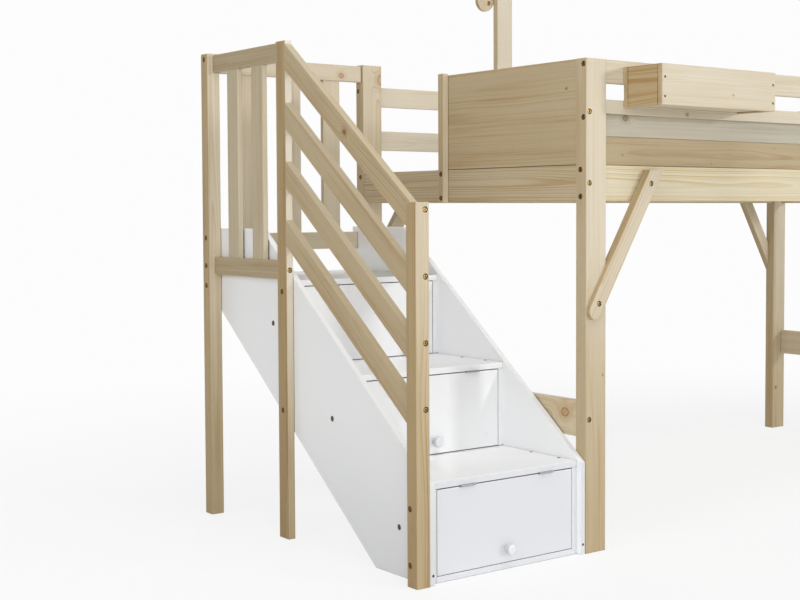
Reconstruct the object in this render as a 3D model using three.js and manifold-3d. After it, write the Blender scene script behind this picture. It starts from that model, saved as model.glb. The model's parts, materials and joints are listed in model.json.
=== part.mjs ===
// A low loft bed in pine with a white storage staircase at its left end, in millimetres, +Z up.
// X runs along the bed away from the staircase, and Y from the front of the bed to its back.
// The origin is on the floor, under the middle of the whole object.
import * as THREE from "three";
import { mergeVertices } from "three/addons/utils/BufferGeometryUtils.js";
import Module from "manifold-3d";

const wasm = await Module();
wasm.setup();

// Driving dimensions of the bed
const bedLength = 2000;
const bedWidth = 1028;
const railBottom = 886;
const guardTop = 1241;
const cornerPostRise = 64;

// Driving dimensions of the staircase
const stairInnerWidth = 454;
const firstTreadTop = 236.5;
const stairRise = 223;
const stairRun = 290;
const stairPost = 38;
const panelThick = 16;
const riserCount = 3;

// Fits and edges
const seatGap = 0.3;
const edgeEase = 1.2;
const housingDepth = 4;
const cutOverrun = 5;
const arcSteps = 12;
const roundSteps = 28;
const mergeDistance = 1e-4;

// Bed frame
const bedPostWide = 68;
const bedPostDeep = 38;
const railHeight = 91;
const railThick = 19;
const railRecess = 12;
const endRailThick = 20;
const endRailRecess = 2;
const crossRailBottom = 293;

// Guards round the mattress
const guardSlatHeight = 59;
const guardBoardThick = 18;
const guardBoardRecess = 2;
const topRailGap = 41;
const middleRailHeight = 35;
const lowerBoardHeight = 73;
const innerBoardThick = 17;
const innerBoardLap = 9;
const backSlatGap = 74.5;
const endPanelThick = 18;

// Entry from the landing
const entryClear = 400;
const entryPostWide = 25;
const entryPostThick = 18;
const entryPostRise = 4;

// Mattress base
const ledgerHeight = 30;
const ledgerThick = 22;
const ledgerLift = 14;
const baseSlatCount = 12;
const baseSlatWide = 70;
const baseSlatThick = 18;
const baseSlatEndSpace = 18;

// Knee braces between posts and side rails
const braceWidth = 42;
const braceProud = 12;
const braceFootInset = 22;
const braceFootHeight = 611;
const braceTopDrop = 10;
const braceAngle = THREE.MathUtils.degToRad(58.7);

// Tall post at the back, with an arm
const tallPostInset = 526.5;
const tallPostWide = 62;
const tallPostThick = 22.5;
const tallPostRise = 419;
const armWidth = 66;
const armThick = 14;
const armReach = 31.5;
const armFootDrop = 116;

// Tray hung outside the front guard
const trayInset = 130;
const trayLength = 430;
const trayDepth = 134;
const trayHeight = 102;
const trayDrop = 18;
const trayBoard = 16;
const trayFloorThick = 6;
const trayFloorLift = 4;

// Staircase panels and treads
const stairFrontRecess = 16;
const panelFrontRecess = 2;
const panelNoseMargin = 7;
const panelFootLength = 223;
const panelBackDrop = 76.5;
const panelTop = 815;
const treadThick = 16;
const stairBackThick = 12;
const stairFloorThick = 12;
const stairFloorLift = 2;

// Flap doors
const stileWidth = 15;
const doorThick = 15;
const doorGap = 1.5;
const hingeGap = 2.4;
const kickRailHeight = 15;
const hingeLength = 44;
const hingeRadius = 2.6;
const hingeOffset = 122;
const hingeLeafDepth = 16;
const hingeLeafEase = 0.2;
const knobAboveDoorEdge = 33.5;
const knobProjection = 22;
const knobHeadRadius = 14.5;
const knobHeadThick = 9;
const knobStemRadius = 6.5;
const knobFootRadius = 9;
const knobFootThick = 3;

// Handrails and the railings round the landing
const frontPostRise = 4;
const middlePostThick = 21;
const middlePostDeep = 46;
const handrailCount = 4;
const handrailThick = 21;
const handrailHeight = 68;
const handrailSpacing = 152;
const handrailLowTop = 880;
const handrailHighDrop = 9;
const railingThick = 21;
const railingTopDrop = 4;
const railingTopHeight = 48;
const railingFootHeight = 50;
const railingSlatWide = 59;
const railingSlatThick = 15;
const sideRailingBottom = 684;
const backRailingBottom = 749;
const sideSlatCount = 2;
const backSlatCount = 3;

// Seats for bolt heads
const seatRadius = 7.2;
const seatDepth = 2.5;
const seatSteps = 16;
const boltInset = 12;
const guardBoltInset = 14;
const guardBoltDrop = 11;
const handrailBoltDrop = 13;
const newelBoltInset = 26;
const newelBoltLow = 51;
const newelBoltHigh = 182;
const landingBoltDrop = 30;
const panelBoltSetback = 107;
const braceBoltInset = 22;
const armBoltShift = 13;
const armBoltDrop = 6;

// Places that several pieces share
const leftPanelOuter = stairPost + seatGap;
const leftPanelInner = leftPanelOuter + panelThick;
const rightPanelInner = leftPanelInner + stairInnerWidth;
const rightPanelOuter = rightPanelInner + panelThick;
const bedLeft = rightPanelOuter + seatGap;
const bedRight = bedLeft + bedLength;
const railTop = railBottom + railHeight;
const cornerPostTop = guardTop + cornerPostRise;
const frontPostTop = handrailLowTop + frontPostRise;
const handrailHighTop = cornerPostTop - handrailHighDrop;
const lowerBoardTop = railTop + lowerBoardHeight;
const backPostFront = bedWidth - bedPostDeep;
const guardFront = guardBoardRecess;
const guardSlatBottom = guardTop - guardSlatHeight;
const backSlatMiddle = guardSlatBottom - backSlatGap - guardSlatHeight / 2;
const middleRailTop = guardSlatBottom - topRailGap;
const middleRailBottom = middleRailTop - middleRailHeight;
const stairBackFront = bedWidth - stairPost;
const middlePostFront = stairFrontRecess + (riserCount - 1) * stairRun;
const middlePostBack = middlePostFront + middlePostDeep;
const treadTop = (step) => firstTreadTop + step * stairRise;
const treadBottom = (step) => treadTop(step) - treadThick;
const riserFront = (step) => stairFrontRecess + step * stairRun;
const landingTop = treadTop(riserCount - 1);
const panelBackHeight = landingTop - panelBackDrop;
const tallPostTop = guardTop + tallPostRise;
const trayBottom = middleRailTop - trayDrop;
const trayBack = guardFront - seatGap;
const trayFront = trayBack - trayDepth;
const braceFront = -seatGap - braceProud;
const braceBack = railRecess - seatGap;
const footprintCentreX = bedRight / 2;
const footprintCentreY = (trayFront + bedWidth - braceFront) / 2;

// Materials, one of its own for each piece
const pine = () => new THREE.MeshStandardMaterial({ color: 0xdcc8a4, roughness: 0.55, metalness: 0 });
const lacquer = () => new THREE.MeshStandardMaterial({ color: 0xeceef2, roughness: 0.35, metalness: 0 });
const steel = () => new THREE.MeshStandardMaterial({ color: 0xb9bcc0, roughness: 0.3, metalness: 1 });

// A flat piece with eased edges, drawn square to one axis and reaching from low to high along it.
// Its outline is given as (y, z) square to X, as (x, z) square to Y and as (x, y) square to Z.
function plate(axis, outline, low, high, ease = edgeEase) {
  const shape = new THREE.Shape(outline.map(([u, v]) => new THREE.Vector2(u, v)));
  const geometry = new THREE.ExtrudeGeometry(shape, {
    depth: high - low - 2 * ease,
    bevelThickness: ease,
    bevelSize: ease,
    bevelOffset: -ease,
    bevelSegments: 1,
  });
  geometry.translate(0, 0, ease);
  const turn = new THREE.Matrix4();
  if (axis === "x") {
    turn.makeBasis(new THREE.Vector3(0, 1, 0), new THREE.Vector3(0, 0, 1), new THREE.Vector3(1, 0, 0));
    turn.setPosition(low, 0, 0);
  } else if (axis === "y") {
    turn.makeBasis(new THREE.Vector3(1, 0, 0), new THREE.Vector3(0, 0, 1), new THREE.Vector3(0, -1, 0));
    turn.setPosition(0, high, 0);
  } else {
    turn.setPosition(0, 0, low);
  }
  return geometry.applyMatrix4(turn);
}

const rectangle = ([u0, u1], [v0, v1]) => [[u0, v0], [u1, v0], [u1, v1], [u0, v1]];

// A straight board between three pairs of faces, with its broad faces' edges eased.
function board(xs, ys, zs) {
  const wide = xs[1] - xs[0];
  const deep = ys[1] - ys[0];
  const high = zs[1] - zs[0];
  if (wide <= deep && wide <= high) return plate("x", rectangle(ys, zs), xs[0], xs[1]);
  if (deep <= high) return plate("y", rectangle(xs, zs), ys[0], ys[1]);
  return plate("z", rectangle(xs, ys), zs[0], zs[1]);
}

// Joining and cutting
function solidOf(geometry) {
  const bare = geometry.clone();
  bare.deleteAttribute("normal");
  bare.deleteAttribute("uv");
  const merged = mergeVertices(bare, mergeDistance);
  const vertProperties = merged.attributes.position.array;
  const triVerts = new Uint32Array(merged.index.array);
  return new wasm.Manifold(new wasm.Mesh({ numProp: 3, vertProperties, triVerts }));
}

function geometryOf(solid) {
  const mesh = solid.getMesh();
  const geometry = new THREE.BufferGeometry();
  geometry.setAttribute("position", new THREE.BufferAttribute(mesh.vertProperties, 3));
  geometry.setIndex(new THREE.BufferAttribute(mesh.triVerts, 1));
  geometry.computeVertexNormals();
  return geometry;
}

const join = (pieces) => geometryOf(pieces.map(solidOf).reduce((whole, piece) => whole.add(piece)));
const cut = (piece, tool) => geometryOf(solidOf(piece).subtract(solidOf(tool)));

// Cuts round seats for bolt heads into faces square to one axis, at the places given
function seated(piece, axis, places) {
  const seats = places.map(([x, y, z]) => {
    const seat = new THREE.CylinderGeometry(seatRadius, seatRadius, 2 * seatDepth, seatSteps);
    if (axis === "x") seat.rotateZ(Math.PI / 2);
    return seat.translate(x, y, z);
  });
  return cut(piece, join(seats));
}

// The whole, with every piece placed where it is used
const bed = new THREE.Group();
bed.position.set(-footprintCentreX, -footprintCentreY, 0);

function add(name, geometry, material) {
  const mesh = new THREE.Mesh(geometry, material());
  mesh.name = name;
  bed.add(mesh);
}

// Spans measured inwards from one end or one long side of the bed
const fromEnd = (end, near, far) =>
  end === "left" ? [bedLeft + near, bedLeft + far] : [bedRight - far, bedRight - near];
const fromSide = (side, near, far) => (side === "front" ? [near, far] : [bedWidth - far, bedWidth - near]);
const inFromEnd = (end, inset) => fromEnd(end, inset, inset)[0];
const inFromSide = (side, inset) => fromSide(side, inset, inset)[0];
const betweenEndPosts = [bedLeft + bedPostWide + seatGap, bedRight - bedPostWide - seatGap];
const betweenSidePosts = [bedPostDeep + seatGap, backPostFront - seatGap];

// Four corner posts, the one at the landing tall enough to carry its railing
function addBedPosts() {
  for (const end of ["left", "right"])
    for (const side of ["front", "back"]) {
      const isLanding = end === "left" && side === "back";
      const height = [0, isLanding ? cornerPostTop : guardTop];
      const post = board(fromEnd(end, 0, bedPostWide), fromSide(side, 0, bedPostDeep), height);
      const ended = seated(post, "x", lengthwiseBolts(end, side));
      add(`bed_post_${side}_${end}`, seated(ended, "y", crosswiseBolts(end, side, isLanding)), pine);
    }
}

// Bolts through a post into the ends of its side rail and guard boards
function lengthwiseBolts(end, side) {
  const x = inFromEnd(end, 0);
  const railY = inFromSide(side, railRecess + railThick / 2);
  const guardY = inFromSide(side, guardBoardRecess + guardBoardThick / 2);
  const lowerGuard = side === "front" ? middleRailBottom - guardBoltDrop : backSlatMiddle;
  return [
    [x, railY, railBottom + boltInset],
    [x, railY, railTop - boltInset],
    [x, guardY, lowerGuard],
    [x, guardY, guardTop - guardBoltInset],
  ];
}

// Bolts through a post into the ends of the rails and the panel across the bed
function crosswiseBolts(end, side, isLanding) {
  const x = inFromEnd(end, endRailRecess + endPanelThick / 2);
  const y = inFromSide(side, 0);
  const heights = [crossRailBottom + railHeight / 2, railBottom + railHeight / 2];
  if (!isLanding) heights.push((railTop + guardTop) / 2);
  return heights.map((z) => [x, y, z]);
}

function addRails() {
  for (const side of ["front", "back"]) {
    const depth = fromSide(side, railRecess, railRecess + railThick);
    add(`side_rail_${side}`, board(betweenEndPosts, depth, [railBottom, railTop]), pine);
  }
  for (const end of ["left", "right"]) {
    const across = fromEnd(end, endRailRecess, endRailRecess + endRailThick);
    add(`end_rail_${end}`, board(across, betweenSidePosts, [railBottom, railTop]), pine);
    const low = [crossRailBottom, crossRailBottom + railHeight];
    add(`cross_rail_${end}`, board(across, betweenSidePosts, low), pine);
  }
}

// Ledgers inside the side rails, with slats housed into their tops
function addMattressBase() {
  const ledgerBottom = railBottom + ledgerLift;
  const ledgerTop = ledgerBottom + ledgerHeight;
  const innerFace = railRecess + railThick + seatGap;
  const pieces = ["front", "back"].map((side) =>
    board(betweenEndPosts, fromSide(side, innerFace, innerFace + ledgerThick), [ledgerBottom, ledgerTop]),
  );
  const slatBottom = ledgerTop - housingDepth;
  const slatAcross = [innerFace + edgeEase, bedWidth - innerFace - edgeEase];
  const first = betweenEndPosts[0] + baseSlatEndSpace;
  const last = betweenEndPosts[1] - baseSlatEndSpace - baseSlatWide;
  for (let i = 0; i < baseSlatCount; i++) {
    const x = first + ((last - first) * i) / (baseSlatCount - 1);
    pieces.push(board([x, x + baseSlatWide], slatAcross, [slatBottom, slatBottom + baseSlatThick]));
  }
  add("mattress_base", join(pieces), pine);
}

// Front guard: two rails with a gap between them, and two boards behind down to the side rail
function addFrontGuard() {
  const outer = fromSide("front", guardBoardRecess, guardBoardRecess + guardBoardThick);
  const innerFront = guardBoardRecess + guardBoardThick + seatGap;
  const inner = fromSide("front", innerFront, innerFront + innerBoardThick);
  const lowerHeight = [railTop + seatGap, lowerBoardTop];
  const upperHeight = [lowerBoardTop + seatGap, middleRailBottom + innerBoardLap];
  add("guard_front_top_rail", board(betweenEndPosts, outer, [guardSlatBottom, guardTop]), pine);
  add("guard_front_middle_rail", board(betweenEndPosts, outer, [middleRailBottom, middleRailTop]), pine);
  add("guard_front_upper_board", board(betweenEndPosts, inner, upperHeight), pine);
  add("guard_front_lower_board", board(betweenEndPosts, inner, lowerHeight), pine);
}

function addBackGuard() {
  const depth = fromSide("back", guardBoardRecess, guardBoardRecess + guardBoardThick);
  const lower = [backSlatMiddle - guardSlatHeight / 2, backSlatMiddle + guardSlatHeight / 2];
  add("guard_back_upper_slat", board(betweenEndPosts, depth, [guardSlatBottom, guardTop]), pine);
  add("guard_back_lower_slat", board(betweenEndPosts, depth, lower), pine);
}

// End panels stand on the end rails, and the left one stops at the entry post
function addEndPanels() {
  const entryEdge = backPostFront - entryClear;
  const height = [railTop + seatGap, guardTop];
  const left = fromEnd("left", endRailRecess, endRailRecess + endPanelThick);
  const right = fromEnd("right", endRailRecess, endRailRecess + endPanelThick);
  add("end_panel_left", board(left, [betweenSidePosts[0], entryEdge], height), pine);
  add("end_panel_right", board(right, betweenSidePosts, height), pine);
  const postFace = bedLeft + endRailRecess - seatGap;
  const outerFace = postFace - entryPostThick;
  const entryPost = board(
    [outerFace, postFace],
    [entryEdge - entryPostWide, entryEdge],
    [railBottom, guardTop + entryPostRise],
  );
  const middle = entryEdge - entryPostWide / 2;
  const bolts = [railBottom + boltInset, railTop - boltInset].map((z) => [outerFace, middle, z]);
  add("entry_post", seated(entryPost, "x", bolts), pine);
}

// A bar that rises from a rounded foot and is cut off level at its top, as (x, z) points
function risingBar(footX, footZ, width, angle, top) {
  const half = width / 2;
  const arc = Array.from({ length: arcSteps + 1 }, (_, i) => angle + Math.PI * (0.5 + i / arcSteps));
  const outline = arc.map((turn) => [footX + half * Math.cos(turn), footZ + half * Math.sin(turn)]);
  const topX = footX + (top - footZ) / Math.tan(angle);
  const halfLevel = half / Math.sin(angle);
  outline.push([topX + halfLevel, top], [topX - halfLevel, top]);
  return outline;
}

// Knee braces lie on the side rails and are notched round the posts
function addKneeBraces() {
  const top = railTop - braceTopDrop;
  const foot = [bedLeft + braceFootInset, braceFootHeight];
  const bar = risingBar(...foot, braceWidth, braceAngle, top);
  const upperBolt = (railBottom + railHeight / 2 - braceFootHeight) / Math.sin(braceAngle);
  for (const side of ["front", "back"])
    for (const end of ["left", "right"]) {
      const outline = end === "left" ? bar : bar.map(([x, z]) => [bedLeft + bedRight - x, z]);
      const brace = plate("y", outline, ...fromSide(side, braceFront, braceBack));
      const across = fromEnd(end, -cutOverrun, bedPostWide + seatGap);
      const notch = board(across, fromSide(side, -seatGap, bedPostDeep), [0, guardTop]);
      const bolts = [braceBoltInset, upperBolt].map((along) => [
        inFromEnd(end, foot[0] - bedLeft + along * Math.cos(braceAngle)),
        inFromSide(side, braceFront),
        foot[1] + along * Math.sin(braceAngle),
      ]);
      add(`knee_brace_${side}_${end}`, seated(cut(brace, notch), "y", bolts), pine);
    }
}

// The tall post stands on the back side rail against the guard, with its arm behind it
function addTallPost() {
  const left = bedLeft + tallPostInset;
  const back = bedWidth - guardBoardRecess - guardBoardThick - seatGap;
  const post = board(
    [left, left + tallPostWide],
    [back - tallPostThick, back],
    [railTop + seatGap, tallPostTop],
  );
  add("tall_post", post, pine);
  const armFoot = [left - armReach, tallPostTop - armFootDrop];
  const outline = risingBar(...armFoot, armWidth, braceAngle, tallPostTop);
  const arm = plate("y", outline, back + seatGap, back + seatGap + armThick);
  const bolt = [armFoot[0] + armBoltShift, back + seatGap, armFoot[1] - armBoltDrop];
  add("tall_post_arm", seated(arm, "y", [bolt]), pine);
}

// An open tray against the outer faces of the guard's two rails
function addTray() {
  const left = bedLeft + trayInset;
  const right = left + trayLength;
  const height = [trayBottom, trayBottom + trayHeight];
  const sideDepth = [trayFront + trayBoard - housingDepth, trayBack - trayBoard + housingDepth];
  const walls = [
    board([left, right], [trayFront, trayFront + trayBoard], height),
    board([left, right], [trayBack - trayBoard, trayBack], height),
    board([left, left + trayBoard], sideDepth, height),
    board([right - trayBoard, right], sideDepth, height),
  ];
  add("tray_walls", join(walls), pine);
  const floorBottom = trayBottom + trayFloorLift;
  const floor = board(
    [left + trayBoard + seatGap, right - trayBoard - seatGap],
    [trayFront + trayBoard + seatGap, trayBack - trayBoard - seatGap],
    [floorBottom, floorBottom + trayFloorThick],
  );
  add("tray_floor", floor, pine);
}

// The front post carries the handrails, the middle and back ones also the railings
const railMiddle = stairPost - handrailThick / 2;
const landingBolt = landingTop - landingBoltDrop;
const panelBoltHeight = (step) => treadTop(step) - (stairRise + treadThick) / 2;
const sideFootMiddle = sideRailingBottom + railingFootHeight / 2;

function addFrontPost() {
  const post = board([0, stairPost], [0, stairPost], [0, frontPostTop]);
  const handrailBolts = Array.from({ length: handrailCount }, (_, i) => [
    railMiddle,
    0,
    handrailLowTop - i * handrailSpacing - handrailBoltDrop,
  ]);
  const panelBolts = [newelBoltLow, newelBoltHigh].map((z) => [0, newelBoltInset, z]);
  add("stair_post_front", seated(seated(post, "y", handrailBolts), "x", panelBolts), pine);
}

function addMiddlePost() {
  const outerFace = stairPost - middlePostThick;
  const post = board([outerFace, stairPost], [middlePostFront, middlePostBack], [0, cornerPostTop]);
  const middle = (middlePostFront + middlePostBack) / 2;
  const panelBolts = [landingBolt, panelBoltHeight(1)].map((z) => [outerFace, middle, z]);
  const railingBolts = [[railMiddle, middlePostFront, sideFootMiddle]];
  add("stair_post_middle", seated(seated(post, "x", panelBolts), "y", railingBolts), pine);
}

function addBackPost() {
  const post = board([0, stairPost], [stairBackFront, bedWidth], [0, cornerPostTop]);
  const top = cornerPostTop - railingTopDrop - boltInset;
  const backFoot = backRailingBottom + railingFootHeight - boltInset;
  const middle = (stairBackFront + bedWidth) / 2;
  const leftBolts = [top, backFoot, sideFootMiddle, landingBolt].map((z) => [0, middle, z]);
  const backBolts = [top, sideFootMiddle].map((z) => [railMiddle, bedWidth, z]);
  add("stair_post_back", seated(seated(post, "x", leftBolts), "y", backBolts), pine);
}

// Sloping handrails, cut upright where they meet the front and middle posts
function addHandrails() {
  const ends = [stairPost + seatGap, middlePostFront - seatGap];
  for (let i = 0; i < handrailCount; i++) {
    const low = handrailLowTop - i * handrailSpacing;
    const high = handrailHighTop - i * handrailSpacing;
    const outline = [
      [ends[0], low - handrailHeight],
      [ends[1], high - handrailHeight],
      [ends[1], high],
      [ends[0], low],
    ];
    const rail = plate("x", outline, stairPost - handrailThick, stairPost);
    add(`handrail_${i + 1}`, rail, pine);
  }
}

// Starts of evenly spaced slats between two faces
function slatStarts([low, high], count, width) {
  const space = (high - low - count * width) / (count + 1);
  return Array.from({ length: count }, (_, i) => low + space + i * (width + space));
}

// The railing beside the landing, between the middle and back posts
function addSideRailing() {
  const top = cornerPostTop - railingTopDrop;
  const faces = [middlePostBack, stairBackFront];
  const span = [middlePostBack + seatGap, stairBackFront - seatGap];
  const across = [stairPost - railingThick, stairPost];
  const inset = (railingThick - railingSlatThick) / 2;
  const slatAcross = [across[0] + inset, across[1] - inset];
  const footTop = sideRailingBottom + railingFootHeight;
  const slatHeight = [footTop - housingDepth, top - railingTopHeight + housingDepth];
  const pieces = [
    board(across, span, [top - railingTopHeight, top]),
    board(across, span, [sideRailingBottom, footTop]),
  ];
  for (const y of slatStarts(faces, sideSlatCount, railingSlatWide))
    pieces.push(board(slatAcross, [y, y + railingSlatWide], slatHeight));
  add("landing_side_railing", join(pieces), pine);
}

// The railing behind the landing, whose foot rail lies between the stair panels
function addBackRailing() {
  const top = cornerPostTop - railingTopDrop;
  const middle = bedWidth - stairPost / 2;
  const depth = [middle - railingThick / 2, middle + railingThick / 2];
  const slatDepth = [middle - railingSlatThick / 2, middle + railingSlatThick / 2];
  const footTop = backRailingBottom + railingFootHeight;
  const slatHeight = [footTop - housingDepth, top - railingTopHeight + housingDepth];
  const above = [stairPost + seatGap, bedLeft - seatGap];
  const between = [leftPanelInner + seatGap, rightPanelInner - seatGap];
  const pieces = [
    board(above, depth, [top - railingTopHeight, top]),
    board(between, depth, [backRailingBottom, footTop]),
  ];
  for (const x of slatStarts([stairPost, bedLeft], backSlatCount, railingSlatWide))
    pieces.push(board([x, x + railingSlatWide], slatDepth, slatHeight));
  add("landing_back_railing", join(pieces), pine);
}

// The upper edge of a stair panel runs parallel to the line through the tread noses
const stairSlope = stairRise / stairRun;
const panelEdgeHeight = (y) => firstTreadTop + panelNoseMargin + (y - stairFrontRecess) * stairSlope;
const panelEdgePlace = (z) => stairFrontRecess + (z - firstTreadTop - panelNoseMargin) / stairSlope;

// The lower edge of the panels climbs from the end of their foot to their back
const backSlopeAngle = Math.atan2(panelBackHeight, bedWidth - panelFootLength);
const stairBackPlace = (z) =>
  panelFootLength - stairBackThick / Math.sin(backSlopeAngle) + z / Math.tan(backSlopeAngle);

// A stair panel with its stiles, which frame one flap door on each riser
function stairPanel(xs, stileXs) {
  const outline = [
    [panelFrontRecess, 0],
    [panelFootLength, 0],
    [bedWidth, panelBackHeight],
    [bedWidth, panelTop],
    [panelEdgePlace(panelTop), panelTop],
    [panelFrontRecess, panelEdgeHeight(panelFrontRecess)],
  ];
  const pieces = [plate("x", outline, ...xs)];
  for (let step = 0; step < riserCount; step++) {
    const floor = step === 0 ? 0 : treadTop(step - 1) + seatGap;
    const depth = [riserFront(step), riserFront(step) + doorThick];
    pieces.push(board(stileXs, depth, [floor, treadBottom(step) - seatGap]));
  }
  return join(pieces);
}

function addStairPanels() {
  const leftStile = [leftPanelInner - housingDepth, leftPanelInner + stileWidth];
  const rightStile = [rightPanelInner - stileWidth, rightPanelInner + housingDepth];
  const left = stairPanel([leftPanelOuter, leftPanelInner], leftStile);
  const right = stairPanel([rightPanelInner, rightPanelOuter], rightStile);
  const boltsIn = (x) =>
    Array.from({ length: riserCount }, (_, step) => [
      x,
      riserFront(step) + panelBoltSetback,
      panelBoltHeight(step),
    ]);
  add("stair_panel_left", seated(left, "x", boltsIn(leftPanelOuter)), lacquer);
  add("stair_panel_right", seated(right, "x", boltsIn(rightPanelOuter)), lacquer);
}

// Treads run back to the sloping back of the staircase, so each is the floor of the next compartment
function addTreads() {
  const across = [leftPanelInner + seatGap, rightPanelInner - seatGap];
  for (let step = 0; step < riserCount; step++) {
    const isLanding = step === riserCount - 1;
    const name = isLanding ? "landing_deck" : `tread_${step + 1}`;
    const back = isLanding ? bedWidth : stairBackPlace(treadBottom(step)) - seatGap;
    add(name, board(across, [riserFront(step), back], [treadBottom(step), treadTop(step)]), lacquer);
  }
}

function addStairShell() {
  const across = [leftPanelInner + seatGap, rightPanelInner - seatGap];
  const backOutline = [
    [panelFootLength, 0],
    [bedWidth, panelBackHeight],
    [bedWidth, panelBackHeight + stairBackThick / Math.cos(backSlopeAngle)],
    [stairBackPlace(0), 0],
  ];
  add("stair_back", plate("x", backOutline, ...across), lacquer);
  const kickBack = stairFrontRecess + doorThick;
  const floorDepth = [kickBack + seatGap, stairBackPlace(stairFloorLift) - seatGap];
  add("stair_floor", board(across, floorDepth, [stairFloorLift, stairFloorLift + stairFloorThick]), lacquer);
  const betweenStiles = [leftPanelInner + stileWidth + seatGap, rightPanelInner - stileWidth - seatGap];
  add("stair_kick_rail", board(betweenStiles, [stairFrontRecess, kickBack], [0, kickRailHeight]), lacquer);
}

// A round pull knob, turned about its own axis and pointing to the front
function knob() {
  const neck = knobProjection - knobHeadThick;
  const rim = knobHeadThick / 3;
  const profile = new THREE.Path();
  profile.moveTo(0, 0);
  profile.lineTo(knobFootRadius, 0);
  profile.lineTo(knobFootRadius, knobFootThick);
  profile.quadraticCurveTo(knobStemRadius, knobFootThick, knobStemRadius, neck / 2);
  profile.quadraticCurveTo(knobStemRadius, neck, knobHeadRadius, neck + rim);
  profile.quadraticCurveTo(knobHeadRadius, knobProjection - rim / 2, knobHeadRadius / 2, knobProjection);
  profile.lineTo(0, knobProjection);
  const turned = new THREE.LatheGeometry(profile.getPoints(arcSteps / 3), roundSteps);
  return turned.rotateX(Math.PI);
}

// A hinge with its knuckle in front of the gap over the door, and its folded leaves in that gap
function hinge(x, y, z) {
  const knuckle = new THREE.CylinderGeometry(hingeRadius, hingeRadius, hingeLength, roundSteps / 2);
  knuckle.rotateZ(Math.PI / 2);
  knuckle.translate(x, y, z);
  const outline = rectangle([x - hingeLength / 2, x + hingeLength / 2], [y, y + hingeLeafDepth]);
  const leafReach = hingeGap / 2 - seatGap;
  return join([knuckle, plate("z", outline, z - leafReach, z + leafReach, hingeLeafEase)]);
}

// Flap doors, each hung by its upper edge on two hinges, with a knob near its lower edge
function addDoors() {
  const doorLeft = leftPanelInner + stileWidth + doorGap;
  const doorRight = rightPanelInner - stileWidth - doorGap;
  const centre = (doorLeft + doorRight) / 2;
  for (let step = 0; step < riserCount; step++) {
    const number = step + 1;
    const front = riserFront(step);
    const floor = step === 0 ? kickRailHeight : treadTop(step - 1);
    const bottom = floor + doorGap;
    const top = treadBottom(step) - hingeGap;
    add(`door_${number}`, board([doorLeft, doorRight], [front, front + doorThick], [bottom, top]), lacquer);
    const pull = knob();
    pull.translate(centre, front - seatGap, bottom + knobAboveDoorEdge);
    add(`knob_${number}`, pull, lacquer);
    const axisY = front - seatGap - hingeRadius;
    const axisZ = top + hingeGap / 2;
    add(`hinge_${number}_left`, hinge(centre - hingeOffset, axisY, axisZ), steel);
    add(`hinge_${number}_right`, hinge(centre + hingeOffset, axisY, axisZ), steel);
  }
}

addBedPosts();
addRails();
addMattressBase();
addFrontGuard();
addBackGuard();
addEndPanels();
addKneeBraces();
addTallPost();
addTray();
addFrontPost();
addMiddlePost();
addBackPost();
addHandrails();
addSideRailing();
addBackRailing();
addStairPanels();
addTreads();
addStairShell();
addDoors();

const loftBed = new THREE.Group();
loftBed.add(bed);

export default loftBed;
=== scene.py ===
"""Looks of a pine loft bed with a white storage staircase: materials, bolts, light and camera."""

import json
import math
from collections import namedtuple

import bmesh
import bpy
from mathutils import Matrix, Vector


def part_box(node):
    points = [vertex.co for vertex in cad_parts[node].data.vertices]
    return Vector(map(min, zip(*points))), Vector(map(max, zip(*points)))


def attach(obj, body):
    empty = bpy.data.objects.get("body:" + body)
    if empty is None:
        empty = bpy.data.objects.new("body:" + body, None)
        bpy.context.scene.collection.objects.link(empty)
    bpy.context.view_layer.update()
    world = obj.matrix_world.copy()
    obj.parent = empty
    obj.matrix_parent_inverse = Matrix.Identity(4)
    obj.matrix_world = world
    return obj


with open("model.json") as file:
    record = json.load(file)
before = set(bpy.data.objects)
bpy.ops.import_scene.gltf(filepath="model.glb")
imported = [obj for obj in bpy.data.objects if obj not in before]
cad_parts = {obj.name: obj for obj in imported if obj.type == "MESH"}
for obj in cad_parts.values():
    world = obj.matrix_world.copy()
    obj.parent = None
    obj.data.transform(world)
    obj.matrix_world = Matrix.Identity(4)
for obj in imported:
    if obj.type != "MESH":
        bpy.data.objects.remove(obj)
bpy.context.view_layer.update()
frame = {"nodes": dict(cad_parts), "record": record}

# Places are worked out in millimetres from the left front corner of the staircase's front post
MM = 0.001
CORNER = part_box("stair_post_front")[0]
BODY = "base"

FRONT = Vector((0, -1, 0))
BACK = Vector((0, 1, 0))
LEFT = Vector((-1, 0, 0))
RIGHT = Vector((1, 0, 0))
UP = Vector((0, 0, 1))
AXES = (RIGHT, BACK, UP)

Box = namedtuple("Box", "low middle high")


def at(x, y, z):
    """A place given in millimetres from the staircase's corner, in the scene's metres."""
    return CORNER + Vector((x, y, z)) * MM


def box_of(node):
    """A CAD node's lowest corner, middle and highest corner, in millimetres from the staircase's corner."""
    low, high = ((corner - CORNER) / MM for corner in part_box(node))
    return Box(low, (low + high) / 2, high)


def face_of(box, facing):
    """The place along its axis of the face that looks the way of facing."""
    sign = sum(facing)
    corner = box.high if sign > 0 else box.low
    return corner.dot(facing) * sign


def add_object(name, data):
    made = bpy.data.objects.new(name, data)
    bpy.context.scene.collection.objects.link(made)
    return made


def linear(red, green, blue):
    """A colour seen on a screen, as the shader's linear colour."""
    shares = (channel / 255 for channel in (red, green, blue))
    parts = [((s + 0.055) / 1.055) ** 2.4 if s > 0.04045 else s / 12.92 for s in shares]
    return (*parts, 1)


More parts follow.
